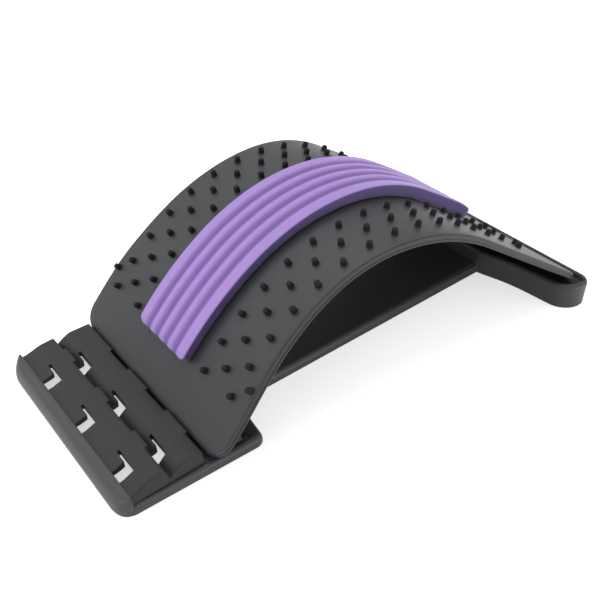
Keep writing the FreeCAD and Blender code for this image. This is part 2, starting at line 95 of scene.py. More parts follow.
class Tree:
    """A node tree to which nodes are added by type, settings and inputs."""

    def __init__(self, tree):
        self.tree = tree

    def add(self, kind, settings=None, inputs=None, output=0):
        node = self.tree.nodes.new(kind)
        for name, value in (settings or {}).items():
            setattr(node, name, value)
        for name, value in (inputs or {}).items():
            self.feed(node.inputs[name], value)
        return Field(self, node.outputs[output]) if node.outputs else node

    def feed(self, socket, value):
        if isinstance(value, Field):
            self.tree.links.new(value.socket, socket)
        elif value is not None:
            socket.default_value = value

    def math(self, operation, a, b):
        return self.add("ShaderNodeMath", {"operation": operation}, {0: a, 1: b})

    def vector(self, operation, a, b=None, scale=None):
        inputs = {0: a, 1: b}
        if scale is not None:
            inputs["Scale"] = scale
        return self.add("ShaderNodeVectorMath", {"operation": operation}, inputs)

    def mix(self, factor, a, b):
        """Blend of two colours."""
        node = self.tree.nodes.new("ShaderNodeMix")
        node.data_type = "RGBA"
        self.feed(node.inputs[0], factor)
        self.feed(node.inputs[6], a)
        self.feed(node.inputs[7], b)
        return Field(self, node.outputs[2])


print("node language ready")

# %% [markdown]
# ## Finishes
#
# Each piece is a moulding, so its colour is even and its character is in the grain. A mould
# for such a board is spark-eroded, which leaves a fine sandy grain, while the plate's mould is
# smoother and shows faint drifts where the plastic flowed. Pins are a soft rubber, matte and
# nearly black, and the strip is closed-cell foam with pores too small to see one by one.
# A few functions hold what all have in common.

# %% Surface helper
def colour(code):
    """Linear colour, with alpha, from a six-digit sRGB code."""
    values = [int(code[i:i + 2], 16) / 255 for i in (0, 2, 4)]
    linear = [v / 12.92 if v <= 0.04045 else ((v + 0.055) / 1.055) ** 2.4 for v in values]
    return (*linear, 1.0)


def new_surface(name):
    """Material with a Principled shader, its tree and its Object coordinates."""
    material = bpy.data.materials.new(name)
    material.use_nodes = True
    material.node_tree.nodes.clear()
    tree = Tree(material.node_tree)
    place = tree.add("ShaderNodeTexCoord", output="Object")
    return material, tree, place


def noise(tree, place, size, detail, seed):
    """Cloudy pattern whose blobs are about `size` metres wide, from 0 to 1."""
    return tree.add("ShaderNodeTexNoise", {"noise_dimensions": "4D"},
                    {"Vector": place, "W": seed, "Scale": 1 / size, "Detail": detail, "Roughness": 0.55})


def close_surface(tree, base, rough, height, depth, **constants):
    """Ends a surface: base colour, roughness, a bump of that depth in metres, and set values."""
    normal = tree.add("ShaderNodeBump", {}, {"Strength": 1.0, "Distance": depth, "Height": height})
    inputs = {"Base Color": base, "Roughness": rough, "Normal": normal}
    inputs.update({name.replace("_", " "): value for name, value in constants.items()})
    shader = tree.add("ShaderNodeBsdfPrincipled", {}, inputs)
    tree.add("ShaderNodeOutputMaterial", {}, {"Surface": shader})


print("surface helper ready")

# %% [markdown]
# ### Moulded plastics
#
# The board, the block and the plate are the same family of plastic, in three slightly different
# dark greys. Fine grain goes into the bump and, more weakly, into the roughness, which is what
# makes a satin surface look like plastic and not like paint. A wide drift keeps large faces from
# looking flat, and sparse specks stand for dust on a dark part.

# %% Plastic finishes
DRIFT_SIZE = 40 * MM
DUST_SIZE = 1.3 * MM
DARKER = 0.80
LIGHTER = 1.22


def plastic(name, code, rough, grain, depth, drift, seed):
    """Satin moulded plastic: grain size and depth in metres, drift is the share of tone change."""
    material, tree, place = new_surface(name)
    sand = noise(tree, place, grain, 3.0, seed)
    wide = noise(tree, place, DRIFT_SIZE, 2.0, seed + 3)
    dust = noise(tree, place, DUST_SIZE, 1.0, seed + 7).step(0.68, 0.80)
    tone = (wide - 0.5) * drift + (sand - 0.5) * (drift * 0.6) + 0.5
    low, high = [[c * share for c in colour(code)[:3]] + [1] for share in (DARKER, LIGHTER)]
    shade = tree.mix(tone.clamped(), low, high)
    base = tree.mix(dust * 0.10, shade, colour("8a8c90"))
    roughness = (rough + (sand - 0.5) * 0.16 + (wide - 0.5) * 0.08 + dust * 0.08).clamped()
    close_surface(tree, base, roughness, sand, depth, IOR=1.49, Specular_IOR_Level=0.30)
    return material


board_finish = plastic("board_plastic", "353639", 0.42, 0.55 * MM, 0.020 * MM, 0.5, 1.0)
block_finish = plastic("block_plastic", "1e1f21", 0.55, 0.50 * MM, 0.018 * MM, 0.6, 12.0)
plate_finish = plastic("plate_plastic", "303134", 0.46, 0.40 * MM, 0.010 * MM, 0.4, 23.0)
print("plastics:", board_finish.name, block_finish.name, plate_finish.name)

# %% [markdown]
# ### Rubber and tape
#
# Pins and feet are soft rubber: rougher than the plastic, so no light shows as a spot on them,
# with a bloom of slightly lighter patches. The tape under the foam is a plain white-grey film.

# %% Rubber and tape finishes
def rubber(name, code, rough, seed):
    """Matte moulded rubber."""
    material, tree, place = new_surface(name)
    skin = noise(tree, place, 0.35 * MM, 3.0, seed)
    bloom = noise(tree, place, 3.0 * MM, 2.0, seed + 4).step(0.45, 0.85)
    base = tree.mix(bloom * 0.35, colour(code), colour("2e2e30"))
    close_surface(tree, base, (rough + (skin - 0.5) * 0.2).clamped(), skin, 0.02 * MM,
                  IOR=1.45, Specular_IOR_Level=0.20)
    return material


def film(name, code, seed):
    """Thin adhesive film with shallow wrinkles."""
    material, tree, place = new_surface(name)
    wrinkle = noise(tree, place, 4 * MM, 3.0, seed)
    base = tree.mix(wrinkle, colour(code), colour("b9b7b0"))
    close_surface(tree, base, (0.4 + wrinkle * 0.2).clamped(), wrinkle, 0.05 * MM, IOR=1.45)
    return material


pin_finish = rubber("pin_rubber", "1c1c1e", 0.70, 31.0)
foot_finish = rubber("foot_rubber", "2a2a2c", 0.70, 37.0)
tape_finish = film("pad_tape", "d9d7d0", 41.0)
print("rubbers and tape:", pin_finish.name, foot_finish.name, tape_finish.name)

# %% [markdown]
# ### Foam
#
# Closed-cell foam scatters light a little way below its skin, so its grooves never go black,
# and it has a soft sheen at grazing angles. Colour follows two attributes of the mesh, `rise`
# and `side`: a painted highlight on the ridge tops, painted shade in the grooves, and the
# darkest painted shade on the side of the strip.

# %% Foam finish
CELL_SIZE = 0.55 * MM


def foam(name):
    """Ridged foam with painted highlight on its ridges and painted shade in its grooves and on its side, by
    the attributes `rise` (1 on a ridge) and `side` (0 at the top).
    """
    material, tree, place = new_surface(name)
    rise = tree.add("ShaderNodeAttribute", {"attribute_name": "rise"}, {}, "Fac")
    side = tree.add("ShaderNodeAttribute", {"attribute_name": "side"}, {}, "Fac")
    cells = tree.add("ShaderNodeTexVoronoi", {"feature": "SMOOTH_F1"},
                     {"Vector": place, "Scale": 1 / CELL_SIZE, "Smoothness": 0.5}, "Distance")
    cloud = noise(tree, place, 9 * MM, 3.0, 51.0)
    # Painted highlight on the ridge tops and painted shade in the grooves, with a little tone that varies
    # at random.
    ridge_highlight_groove_shade = (rise + (cloud - 0.5) * 0.25).clamped()
    top_painted_light = tree.mix(ridge_highlight_groove_shade, colour("60408a"), colour("977abc"))
    # Painted shade: the side of the strip is coloured darkest, with a little tone that varies at random.
    side_painted_shade = tree.mix(cloud, colour("2c1e52"), colour("36275e"))
    base = tree.mix(side.step(0.04, 0.13), top_painted_light, side_painted_shade)
    specks = tree.mix(cells.step(0.05, 0.30) * 0.12, base, colour("c3aee2"))
    close_surface(tree, specks, (0.72 + (cells - 0.4) * 0.15).clamped(), cells, 0.03 * MM,
                  IOR=1.40, Specular_IOR_Level=0.30, Subsurface_Weight=0.15,
                  Subsurface_Radius=(0.004, 0.0025, 0.005), Subsurface_Scale=0.4,
                  Sheen_Weight=0.25, Sheen_Roughness=0.4)
    return material


pad_finish = foam("pad_foam")
print("foam:", pad_finish.name)

# %% [markdown]
# ## Pieces
#
# Every piece is made in the same way: points and faces become a mesh, and its object stays at
# the origin, so that the points are already in the frame's own metres.

# %% Objects and meshes
def put(name, data):
    """Object that holds the data, at the origin and in the scene."""
    item = bpy.data.objects.new(name, data)
    bpy.context.scene.collection.objects.link(item)
    return item


def new_piece(name, points, faces, finish=None):
    """Mesh object made of points and faces."""
    mesh = bpy.data.meshes.new(name)
    mesh.from_pydata(points, [], faces)
    if finish:
        mesh.materials.append(finish)
    return put(name, mesh)


print("piece helpers ready")

# %% [markdown]
# ## The arch
#
# Everything on the plate is easiest to draw flat, as it leaves the mould, and then to bend: the
# distance along the plate is X, the width is Y, and the height over its top face is Z. The arch
# itself is a chain of straight and round stretches, the same ones as in the CAD source. Lengths
# and radii are shares of the span between the two ends, so the chain keeps its shape at any size.

# %% Arch as a chain of stretches
near_end = Vector((-128.4 * MM, 0, 11.7 * MM))
far_face = 185.744 * MM
span = far_face - near_end.x
start_heading = math.radians(48.3)
stretches = [
    (span * 0.13753, 0.0),
    (span * 0.67810, math.radians(16.6)),
    (span * 0.42245, math.radians(52.85)),
    (span * 0.50936, math.radians(12.0)),
    (span * 0.34573, 0.0),
]
arch_length = sum(size if turn == 0 else size * turn for size, turn in stretches)


def arch_at(distance):
    """Point of the arch's top face at a distance along it."""
    spot = near_end.copy()
    heading = start_heading
    left = distance
    for number, (size, turn) in enumerate(stretches):
        last = number == len(stretches) - 1
        whole = size if turn == 0 else size * turn
        step = left if last else min(left, whole)
        if turn == 0:
            spot += Vector((math.cos(heading), 0, math.sin(heading))) * step
        else:
            new = heading - step / size
            run = math.sin(heading) - math.sin(new)
            climb = math.cos(new) - math.cos(heading)
            spot += Vector((run, 0, climb)) * size
            heading = new
        left -= step
        if left <= 0 and not last:
            break
    return spot


print("arch length in mm:", round(arch_length / MM, 1))

# %% [markdown]
# ### Bending by Geometry Nodes
#
# One tree bends any flat mesh. It reads each point's X as a distance, looks that distance up on
# a guide curve, and moves the point there: Y stays, and Z goes along the curve's normal. The
# guide runs a little past both ends, so that nothing at an edge is clamped.

# %% Guide curve and bending tree
RUN_IN = 12 * MM
GUIDE_STEP = 0.5 * MM


def guide_curve():
    """The arch as a finely divided curve, RUN_IN longer at each end."""
    count = int((arch_length + 2 * RUN_IN) / GUIDE_STEP) + 1
    data = bpy.data.curves.new("arch_guide", "CURVE")
    data.dimensions = "3D"
    spline = data.splines.new("POLY")
    spline.points.add(count - 1)
    for i in range(count):
        spline.points[i].co = (*arch_at(i * GUIDE_STEP - RUN_IN), 1)
    return put("arch_guide", data)


def bend_and_close(tree, given, geometry):
    """Ends a geometry tree: bends the flat mesh along the guide curve and sets its finish."""
    curve = tree.add("GeometryNodeObjectInfo", {}, {"Object": given.other("Guide")}, "Geometry")
    place = tree.add("GeometryNodeInputPosition")
    x = tree.add("ShaderNodeSeparateXYZ", {}, {0: place}, "X")
    spot = tree.add("GeometryNodeSampleCurve", {"mode": "LENGTH"},
                    {"Curves": curve, "Length": x + given.other("Run in")}, "Position")
    across = (0, 1, 0)
    up = tree.vector("CROSS_PRODUCT", spot.other("Tangent"), across)
    side_move = tree.vector("SCALE", across, scale=x.other("Y"))
    up_move = tree.vector("SCALE", tree.vector("NORMALIZE", up), scale=x.other("Z"))
    moved = tree.vector("ADD", tree.vector("ADD", spot, side_move), up_move)
    bent = tree.add("GeometryNodeSetPosition", {}, {"Geometry": geometry, "Position": moved})
    painted = tree.add("GeometryNodeSetMaterial", {}, {"Geometry": bent, "Material": given.other("Finish")})
    tree.add("NodeGroupOutput", {}, {"Geometry": painted})


def new_tree(name, sockets):
    """Geometry tree with one geometry output and the named inputs: (name, socket type)."""
    group = bpy.data.node_groups.new(name, "GeometryNodeTree")
    group.interface.new_socket("Geometry", in_out="OUTPUT", socket_type="NodeSocketGeometry")
    for label, kind in sockets:
        group.interface.new_socket(label, in_out="INPUT", socket_type=kind)
    tree = Tree(group)
    given = tree.add("NodeGroupInput")
    return group, tree, given


bend_group, tree, given = new_tree("bend_on_arch", [
    ("Geometry", "NodeSocketGeometry"), ("Guide", "NodeSocketObject"),
    ("Run in", "NodeSocketFloat"), ("Finish", "NodeSocketMaterial")])
bend_and_close(tree, given, given.other("Geometry"))


def run_tree(piece, group, finish, **inputs):
    """Runs a geometry tree on a piece, with its inputs set by name, and keeps the finished mesh."""
    values = {"Guide": guide, "Run in": RUN_IN, "Finish": finish, **inputs}
    modifier = piece.modifiers.new(group.name, "NODES")
    modifier.node_group = group
    for item in group.interface.items_tree:
        if item.in_out == "INPUT" and item.name in values:
            modifier[item.identifier] = values[item.name]
    graph = bpy.context.evaluated_depsgraph_get()
    done = bpy.data.meshes.new_from_object(piece.evaluated_get(graph))
    done.materials.clear()
    done.materials.append(finish)
    done.polygons.foreach_set("material_index", [0] * len(done.polygons))
    piece.modifiers.clear()
    piece.data = done


guide = guide_curve()
print("guide points:", len(guide.data.splines[0].points))

# %% [markdown]
# ## A flat panel with a shaped rim
#
# The plate and the foam strip are both panels: an outline with rounded corners, a top face, a
# rim with its own profile, and an underside. The mesh is made of rows across the panel. Each
# row starts and ends on the outline, so the top is a clean grid of quads, and the rim is a set
# of rings round the same outline, each drawn in by an inset. The last ring closes on a second
# grid, so nothing is left open.

# %% Panel builder
def row_places(start, end, near_corner, far_corner, inset, middle_rows, corner_rows):
    """Distances of the rows, with the drawn-in depth of the corner at each row."""
    rows = []
    near = near_corner - inset
    far = far_corner - inset
    for i in range(corner_rows):
        turn = math.pi / 2 * i / corner_rows
        rows.append((start + inset + near * (1 - math.cos(turn)), near * (1 - math.sin(turn))))
    low = start + near_corner
    high = end - far_corner
    for i in range(middle_rows + 1):
        rows.append((low + (high - low) * i / middle_rows, 0.0))
    for i in range(corner_rows - 1, -1, -1):
        turn = math.pi / 2 * i / corner_rows
        rows.append((end - inset - far * (1 - math.cos(turn)), far * (1 - math.sin(turn))))
    return rows


def panel(name, start, end, half_width, corners, rim, height, middle_rows, corner_rows, columns):
    """Closed panel drawn flat. rim lists (inset, level); height(x, y, level) gives the place in Z."""
    points = []
    rings = []
    for inset, level in rim:
        ring_rows = row_places(start, end, *corners, inset, middle_rows, corner_rows)
        ends = [(x, half_width(x) - inset - drop) for x, drop in ring_rows]
        loop = [(x, -y) for x, y in ends]
        far_x, far_y = ends[-1]
        loop += [(far_x, far_y * (2 * j / columns - 1)) for j in range(1, columns)]
        loop += [(x, y) for x, y in reversed(ends)]
        near_x, near_y = ends[0]
        loop += [(near_x, near_y * (1 - 2 * j / columns)) for j in range(1, columns)]
        rings.append(list(range(len(points), len(points) + len(loop))))
        points += [(x, y, height(x, y, level)) for x, y in loop]
    faces = []
    for upper, lower in zip(rings, rings[1:]):
        for i in range(len(upper)):
            faces.append((upper[i - 1], lower[i - 1], lower[i], upper[i]))
    for ring, level, flip in ((rings[0], rim[0][1], False), (rings[-1], rim[-1][1], True)):
        faces += panel_face(points, ring, level, height, len(ring_rows), columns, flip)
    return new_piece(name, points, faces)


def panel_face(points, ring, level, height, rows, columns, flip):
    """Grid of quads inside a ring, its new points added to points."""
    front = ring[:rows]
    far = ring[rows:rows + columns - 1]
    rear = list(reversed(ring[rows + columns - 1:2 * rows + columns - 1]))
    near = list(reversed(ring[2 * rows + columns - 1:]))
    grid = []
    for i in range(rows):
        if i == 0:
            inner = near
        elif i == rows - 1:
            inner = far
        else:
            x, y, _ = points[front[i]]
            inner = list(range(len(points), len(points) + columns - 1))
            for j in range(1, columns):
                across = y * (1 - 2 * j / columns)
                points.append((x, across, height(x, across, level)))
        grid.append([front[i], *inner, rear[i]])
    faces = []
    for a, b in zip(grid, grid[1:]):
        for j in range(columns):
            quad = (a[j], b[j], b[j + 1], a[j + 1])
            faces.append(quad[::-1] if flip else quad)
    return faces


def blend_between(stops, x):
    """Smooth value at x between (place, value) stops."""
    if x <= stops[0][0]:
        return stops[0][1]
    for i in range(len(stops) - 1):
        x0, y0 = stops[i]
        x1, y1 = stops[i + 1]
        if x <= x1:
            before = stops[max(i - 1, 0)]
            after = stops[min(i + 2, len(stops) - 1)]
            slope0 = (y1 - before[1]) / (x1 - before[0])
            slope1 = (after[1] - y0) / (after[0] - x0)
            t = (x - x0) / (x1 - x0)
            run = x1 - x0
            return ((2 * t ** 3 - 3 * t ** 2 + 1) * y0 + (t ** 3 - 2 * t ** 2 + t) * run * slope0
                    + (3 * t ** 2 - 2 * t ** 3) * y1 + (t ** 3 - t ** 2) * run * slope1)
    return stops[-1][1]


def shade_smooth(piece, angle):
    """Smooth shading that keeps edges sharper than an angle."""
    for polygon in piece.data.polygons:
        polygon.use_smooth = True
    piece.data.set_sharp_from_angle(angle=angle)


print("panel builder ready")

# %% [markdown]
# ## The arched plate
#
# The plate is a 3.2 mm sheet with a hanging rim that stiffens its edge. Its top edge is rounded
# over, the rim drops straight, and a thin lip stands out at the bottom, which catches the light
# as a fine bright line along the arch. The two sides are drawn in at the waist and flare to the
# far end. The rim's profile below is a list of insets and depths, from the top face round the
# edge to the underside.

# %% Plate drawn flat, then bent
RIM_DEPTH = 4.8 * MM
SHEET = 3.2 * MM
RIM_WALL = 2.6 * MM
LIP_OUT = 0.9 * MM
LIP_HEIGHT = 1.7 * MM
EDGE_ROUND = 2.0 * MM
EDGE_STEPS = 5
LIP_ROUND = 0.35 * MM
WAIST_HALF = 81.0 * MM
FAR_HALF = 113.0 * MM
PLATE_CORNERS = (15 * MM, 7 * MM)
PLATE_ROWS, PLATE_CORNER_ROWS, PLATE_COLUMNS = 150, 12, 36
PLATE_CREASE = math.radians(40)
near_shares = [(0.0, 1.072), (0.045, 1.077), (0.102, 1.068), (0.159, 1.048), (0.216, 1.023),
               (0.29, 1.005), (0.375, 1.0)]
far_shares = [(0.455, 0.045), (0.529, 0.13), (0.631, 0.265), (0.771, 0.515), (1.0, 1.0)]
width_stops = [(s * arch_length, WAIST_HALF * w) for s, w in near_shares]
width_stops += [(s * arch_length, WAIST_HALF + (FAR_HALF - WAIST_HALF) * w) for s, w in far_shares]


def plate_rim():
    """Rim profile as (inset, depth below the top face), from the top round to the underside."""
    side = LIP_OUT
    rim = []
    for i in range(EDGE_STEPS + 1):
        turn = math.pi / 2 * i / EDGE_STEPS
        rim.append((side + EDGE_ROUND * (1 - math.sin(turn)), EDGE_ROUND * (1 - math.cos(turn))))
    lip_top = RIM_DEPTH - LIP_HEIGHT
    rim += [(side, lip_top - LIP_ROUND), (side - LIP_ROUND / 2, lip_top)]
    rim += [(LIP_ROUND, lip_top), (0.0, lip_top + LIP_ROUND)]
    rim += [(0.0, RIM_DEPTH - LIP_ROUND), (LIP_ROUND, RIM_DEPTH)]
    inner = side + RIM_WALL
    rim += [(inner - LIP_ROUND, RIM_DEPTH), (inner, RIM_DEPTH - LIP_ROUND)]
    rim += [(inner, SHEET + LIP_ROUND), (inner + LIP_ROUND, SHEET)]
    return rim


plate = panel("plate_shell", 0.0, arch_length - RIM_DEPTH / 2, lambda x: blend_between(width_stops, x),
              PLATE_CORNERS, plate_rim(), lambda x, y, level: -level,
              PLATE_ROWS, PLATE_CORNER_ROWS, PLATE_COLUMNS)
run_tree(plate, bend_group, plate_finish)
print("plate faces:", len(plate.data.polygons))

# %% [markdown]
# ### Rolled end, knuckles and prongs
#
# The far end of the plate is rolled into a round bar with three thicker knuckles, which is the
# axis that it swings on. Under the near end three flat prongs drop into the arms of the slots.
# Both have the CAD solid's own sizes. The bars are rounded at their ends, the prongs are bevelled
# at their tips, and all are joined to the plate, because the real piece is one moulding.

# %% Roll and prongs
SLOT_PITCH = 49.2
SLOT_CENTRES = [k * SLOT_PITCH for k in (-1, 0, 1)]
HINGE = Vector((182.449 * MM, 0, 18.997 * MM))
ROLL_RADIUS = 2.3 * MM
ROLL_HALF = 103.0 * MM
KNUCKLE_RADIUS = 3.1 * MM
KNUCKLE_HALF = 12 * MM
BAR_END_STEPS = 4
PRONG_HALF = 9.0
PRONG_SHIFT = 2 * MM
prong_outline = [(-120.6, 3.0), (-119.4, 3.0), (-118.9, 4.5), (-118.9, 19.3), (-121.1, 16.8), (-121.1, 4.5)]


def round_bar(name, centre, radius, half_length, end_round, sides=32):
    """Bar along Y with rounded ends, turned from a profile."""
    profile = []
    for i in range(BAR_END_STEPS, -1, -1):
        turn = math.pi / 2 * i / BAR_END_STEPS
        y = -half_length + end_round * (1 - math.sin(turn))
        profile.append((y, radius - end_round * (1 - math.cos(turn))))
    profile += [(-y, r) for y, r in reversed(profile)]
    points = []
    for y, r in profile:
        for k in range(sides):
            turn = 2 * math.pi * k / sides
            points.append(centre + Vector((r * math.cos(turn), y, r * math.sin(turn))))
    faces = [tuple(range(sides)), tuple(reversed(range(len(points) - sides, len(points))))]
    for i in range(len(profile) - 1):
        for k in range(sides):
            a = i * sides + k
            b = i * sides + (k + 1) % sides
            faces.append((a, a + sides, b + sides, b))
    return new_piece(name, points, faces)


def prong(name, centre):
    """Flat upright prong with a bevelled tip."""
    points = []
    for y in (-PRONG_HALF, PRONG_HALF):
        points += [(x * MM, centre + y * MM, z * MM) for x, z in prong_outline]
    count = len(prong_outline)
    faces = [tuple(range(count)), tuple(reversed(range(count, 2 * count)))]
    faces += [(i, i + count, (i + 1) % count + count, (i + 1) % count) for i in range(count)]
    return new_piece(name, points, faces)


def join(target, others):
    """Adds the others' meshes to the target's, with its material, and removes the others."""
    whole = bmesh.new()
    whole.from_mesh(target.data)
    for piece in others:
        whole.from_mesh(piece.data)
        bpy.data.objects.remove(piece)
    for face in whole.faces:
        face.material_index = 0
    whole.to_mesh(target.data)
    whole.free()


bars = [round_bar("roll", HINGE, ROLL_RADIUS, ROLL_HALF, 1.0 * MM)]
for c in SLOT_CENTRES:
    centre = HINGE + Vector((0, c * MM, 0))
    bars.append(round_bar("knuckle", centre, KNUCKLE_RADIUS, KNUCKLE_HALF, 0.8 * MM))
prongs = [prong("prong", c * MM - PRONG_SHIFT) for c in SLOT_CENTRES]
join(plate, bars + prongs)
shade_smooth(plate, PLATE_CREASE)
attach(plate, "plate")
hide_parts("arch_plate")
print("plate with its roll and prongs:", len(plate.data.polygons), "faces")

# %% [markdown]
# ## The massage pins
#
# Ninety-two equal pins stand in staggered rows, which is just what Geometry Nodes are for. The
# tree lays out a row of points on the flat plate, puts a pin turned from a small profile on
# each, and bends the row with the same nodes as the plate. A pin is 5 mm across at its foot,
# narrows quickly there, as if it flowed into the plate, and ends in a small dome. Each row is
# its own named piece, as in the CAD model, so the tree is run once for each row.

# %% Pin row tree
PIN_SUNK = 0.3 * MM
PIN_RINGS = 9
PIN_SIDES = 12
PIN_TAPER = ((0.10, 0.96), (0.20, 0.90), (0.78, 0.80), (0.92, 0.70))
PIN_TIP_SHARE = 0.42


def pin_shape(tree, radius, height):
    """One pin as a turned profile: a vertical line whose radius follows a curve."""
    foot = tree.add("ShaderNodeCombineXYZ", {}, {"Z": -PIN_SUNK})
    tip = tree.add("ShaderNodeCombineXYZ", {}, {"Z": height})
    line = tree.add("GeometryNodeCurvePrimitiveLine", {}, {"Start": foot, "End": tip})
    line = tree.add("GeometryNodeResampleCurve", {}, {"Curve": line, "Count": PIN_RINGS})
    factor = tree.add("GeometryNodeSplineParameter", {}, {}, "Factor")
    taper = tree.add("ShaderNodeFloatCurve", {}, {"Value": factor})
    curve = taper.socket.node.mapping.curves[0]
    for x, y in PIN_TAPER:
        curve.points.new(x, y)
    curve.points[0].location = (0.0, 1.0)
    curve.points[-1].location = (1.0, PIN_TIP_SHARE)
    taper.socket.node.mapping.update()
    ring = tree.add("GeometryNodeCurvePrimitiveCircle", {}, {"Resolution": PIN_SIDES, "Radius": radius})
    return tree.add("GeometryNodeCurveToMesh", {},
                    {"Curve": line, "Profile Curve": ring, "Scale": taper, "Fill Caps": True})


pin_group, tree, given = new_tree("pin_row", [
    ("Guide", "NodeSocketObject"), ("Run in", "NodeSocketFloat"), ("Finish", "NodeSocketMaterial"),
    ("Count", "NodeSocketInt"), ("Start", "NodeSocketFloat"), ("Pitch", "NodeSocketFloat"),
    ("Side", "NodeSocketFloat"), ("Radius", "NodeSocketFloat"), ("Height", "NodeSocketFloat")])
first = tree.add("ShaderNodeCombineXYZ", {}, {"X": given.other("Start"), "Y": given.other("Side")})
onward = tree.add("ShaderNodeCombineXYZ", {}, {"X": given.other("Pitch")})
row = tree.add("GeometryNodeMeshLine", {},
               {"Count": given.other("Count"), "Start Location": first, "Offset": onward})
pin_mesh = pin_shape(tree, given.other("Radius"), given.other("Height"))
stood = tree.add("GeometryNodeInstanceOnPoints", {}, {"Points": row, "Instance": pin_mesh})
stood = tree.add("GeometryNodeRealizeInstances", {}, {"Geometry": stood})
stood = tree.add("GeometryNodeSetShadeSmooth", {}, {"Geometry": stood})
bend_and_close(tree, given, stood)
print("pin row tree nodes:", len(pin_group.nodes))

# %% Rows of pins
PIN_PITCH = arch_length * 0.05685
PIN_START = arch_length * 0.1042
PIN_COUNT = 15
PIN_RADIUS = 2.45 * MM
PIN_HEIGHT = 4.3 * MM
first_row = WAIST_HALF * 0.511
row_gap = WAIST_HALF * 0.178
corner_row = WAIST_HALF * 0.988


def pin_piece(name, rows):
    """One named piece made of rows: (start, pitch, count, side)."""
    parts = []
    for start, pitch, count, side in rows:
        piece = put(name, bpy.data.meshes.new(name))
        run_tree(piece, pin_group, pin_finish, Count=count, Start=start, Pitch=pitch, Side=side,
                 Radius=PIN_RADIUS, Height=PIN_HEIGHT)
        parts.append(piece)
    piece = parts[0]
    if len(parts) > 1:
        join(piece, parts[1:])
    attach(piece, "plate")
    return piece


pins = []
for word, side in (("front", -1), ("rear", 1)):
    for label, number in (("inner", 0), ("middle", 1), ("outer", 2)):
        shift = PIN_PITCH / 2 if label == "middle" else 0.0
        count = PIN_COUNT - 1 if label == "middle" else PIN_COUNT
        place = side * (first_row + number * row_gap)
        piece = pin_piece(f"soft_pins_{word}_{label}", [(PIN_START + shift, PIN_PITCH, count, place)])
        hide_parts(f"pins_{word}_{label}")
        pins.append(piece)
long_step = (PIN_COUNT - 2) * PIN_PITCH
corner_rows = [(PIN_START + PIN_PITCH / 2, long_step, 2, side * corner_row) for side in (-1, 1)]
corner_pins = pin_piece("soft_pins_corner", corner_rows)
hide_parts("pins_corner")
pins.append(corner_pins)
print("pin pieces:", len(pins), "with", sum(len(p.data.polygons) for p in pins), "faces")

# %% [markdown]
# ## The foam pad
#
# The strip is die-cut from a sheet of ridged foam 8 mm thick: five round ridges with narrower
# grooves between them run out to both ends. The knife pulls the foam as it cuts, so the sides
# swell at mid height and draw in at the bottom, and the cut edge rounds over at the top. The
# near end has small corners, and the far end is round. The strip is fuller over the far half
# and eased down at both ends, as in the photo. It is a panel like the plate, with its own rim
# profile and a height that follows the ridges.

# %% Pad drawn flat, then bent
PAD_HALF = 27.0 * MM
PAD_RISE = 8.0 * MM
PAD_LOW = 0.65 * MM
GROOVE = 1.5 * MM
RIDGE_PITCH = 10.6 * MM
GROOVES_A_SIDE = 2
GROOVE_SHARPNESS = 1.3
NEAR_RUN, NEAR_EASE = 6.0 * MM, 0.22
FAR_RUN, FAR_EASE = 32.0 * MM, 0.5
FULLER = 2.4 * MM
FULLER_START_SHARE, FULLER_RUN_SHARE = 0.35, 0.4
PAD_CORNERS = (4.5 * MM, 19 * MM)
PAD_ROWS, PAD_CORNER_ROWS, PAD_COLUMNS = 130, 14, 84
PAD_CREASE = math.radians(60)
pad_start = arch_length * 0.0926
pad_end = arch_length * 0.9122
pad_rim = [(1.0, 1.0), (0.66, 0.985), (0.36, 0.955), (0.14, 0.91), (0.03, 0.85), (0.0, 0.76),
           (0.04, 0.56), (0.1, 0.36), (0.22, 0.18), (0.46, 0.05), (0.8, 0.0)]


def ridge_share(y):
    """1 on a ridge and 0 in a groove: four grooves, and outer ridges that run level to the edge."""
    turn = min(abs(y) / RIDGE_PITCH, GROOVES_A_SIDE)
    return 1 - (0.5 - 0.5 * math.cos(2 * math.pi * turn)) ** GROOVE_SHARPNESS


def pad_top(x, y):
    """Height of the ridged face over the plate: fuller towards the far end, eased down at both."""
    ease = NEAR_EASE * max(0.0, 1 - (x - pad_start) / NEAR_RUN) ** 2
    ease += FAR_EASE * max(0.0, 1 - (pad_end - x) / FAR_RUN) ** 2
    share = (x / arch_length - FULLER_START_SHARE) / FULLER_RUN_SHARE
    fuller = FULLER * min(1.0, max(0.0, share))
    return (PAD_RISE + fuller - GROOVE * (1 - ridge_share(y))) * (1 - ease)


def pad_height(x, y, level):
    """Height over the plate: level 1 follows the ridges, level 0 is the flat underside."""
    return PAD_LOW + (pad_top(x, y) - PAD_LOW) * level


pad = panel("foam_strip", pad_start, pad_end, lambda x: PAD_HALF, PAD_CORNERS,
            [(inset * MM, level) for inset, level in pad_rim], pad_height,
            PAD_ROWS, PAD_CORNER_ROWS, PAD_COLUMNS)
# `rise` and `side` drive painted light in the foam finish: highlight on the ridges, shade in the grooves
# and on the side. `side` runs from 0 at the top face to 1 at the underside.
rise = pad.data.attributes.new("rise", "FLOAT", "POINT")
side = pad.data.attributes.new("side", "FLOAT", "POINT")
for vertex in pad.data.vertices:
    x, y, z = vertex.co
    rise.data[vertex.index].value = ridge_share(y)
    side.data[vertex.index].value = 1 - (z - PAD_LOW) / (pad_top(x, y) - PAD_LOW)
run_tree(pad, bend_group, pad_finish)
shade_smooth(pad, PAD_CREASE)
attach(pad, "plate")
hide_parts("foam_pad")
bpy.data.objects.remove(guide)
print("pad faces:", len(pad.data.polygons))

# %% [markdown]
# ## The toothed block
#
# The block is one thin moulding: two teeth in front of the plate, a third under it, and three
# rows of keyhole slots. Seen from above it is a landscape, so it is built as one: a grid of
# lines along and across, with a height at every crossing, and cells left out where a slot goes
# through. Two lines a hair apart make each steep step, which also gives it the slight draft
# that lets a real moulding leave its tool. The underside is the same landscape one wall lower.

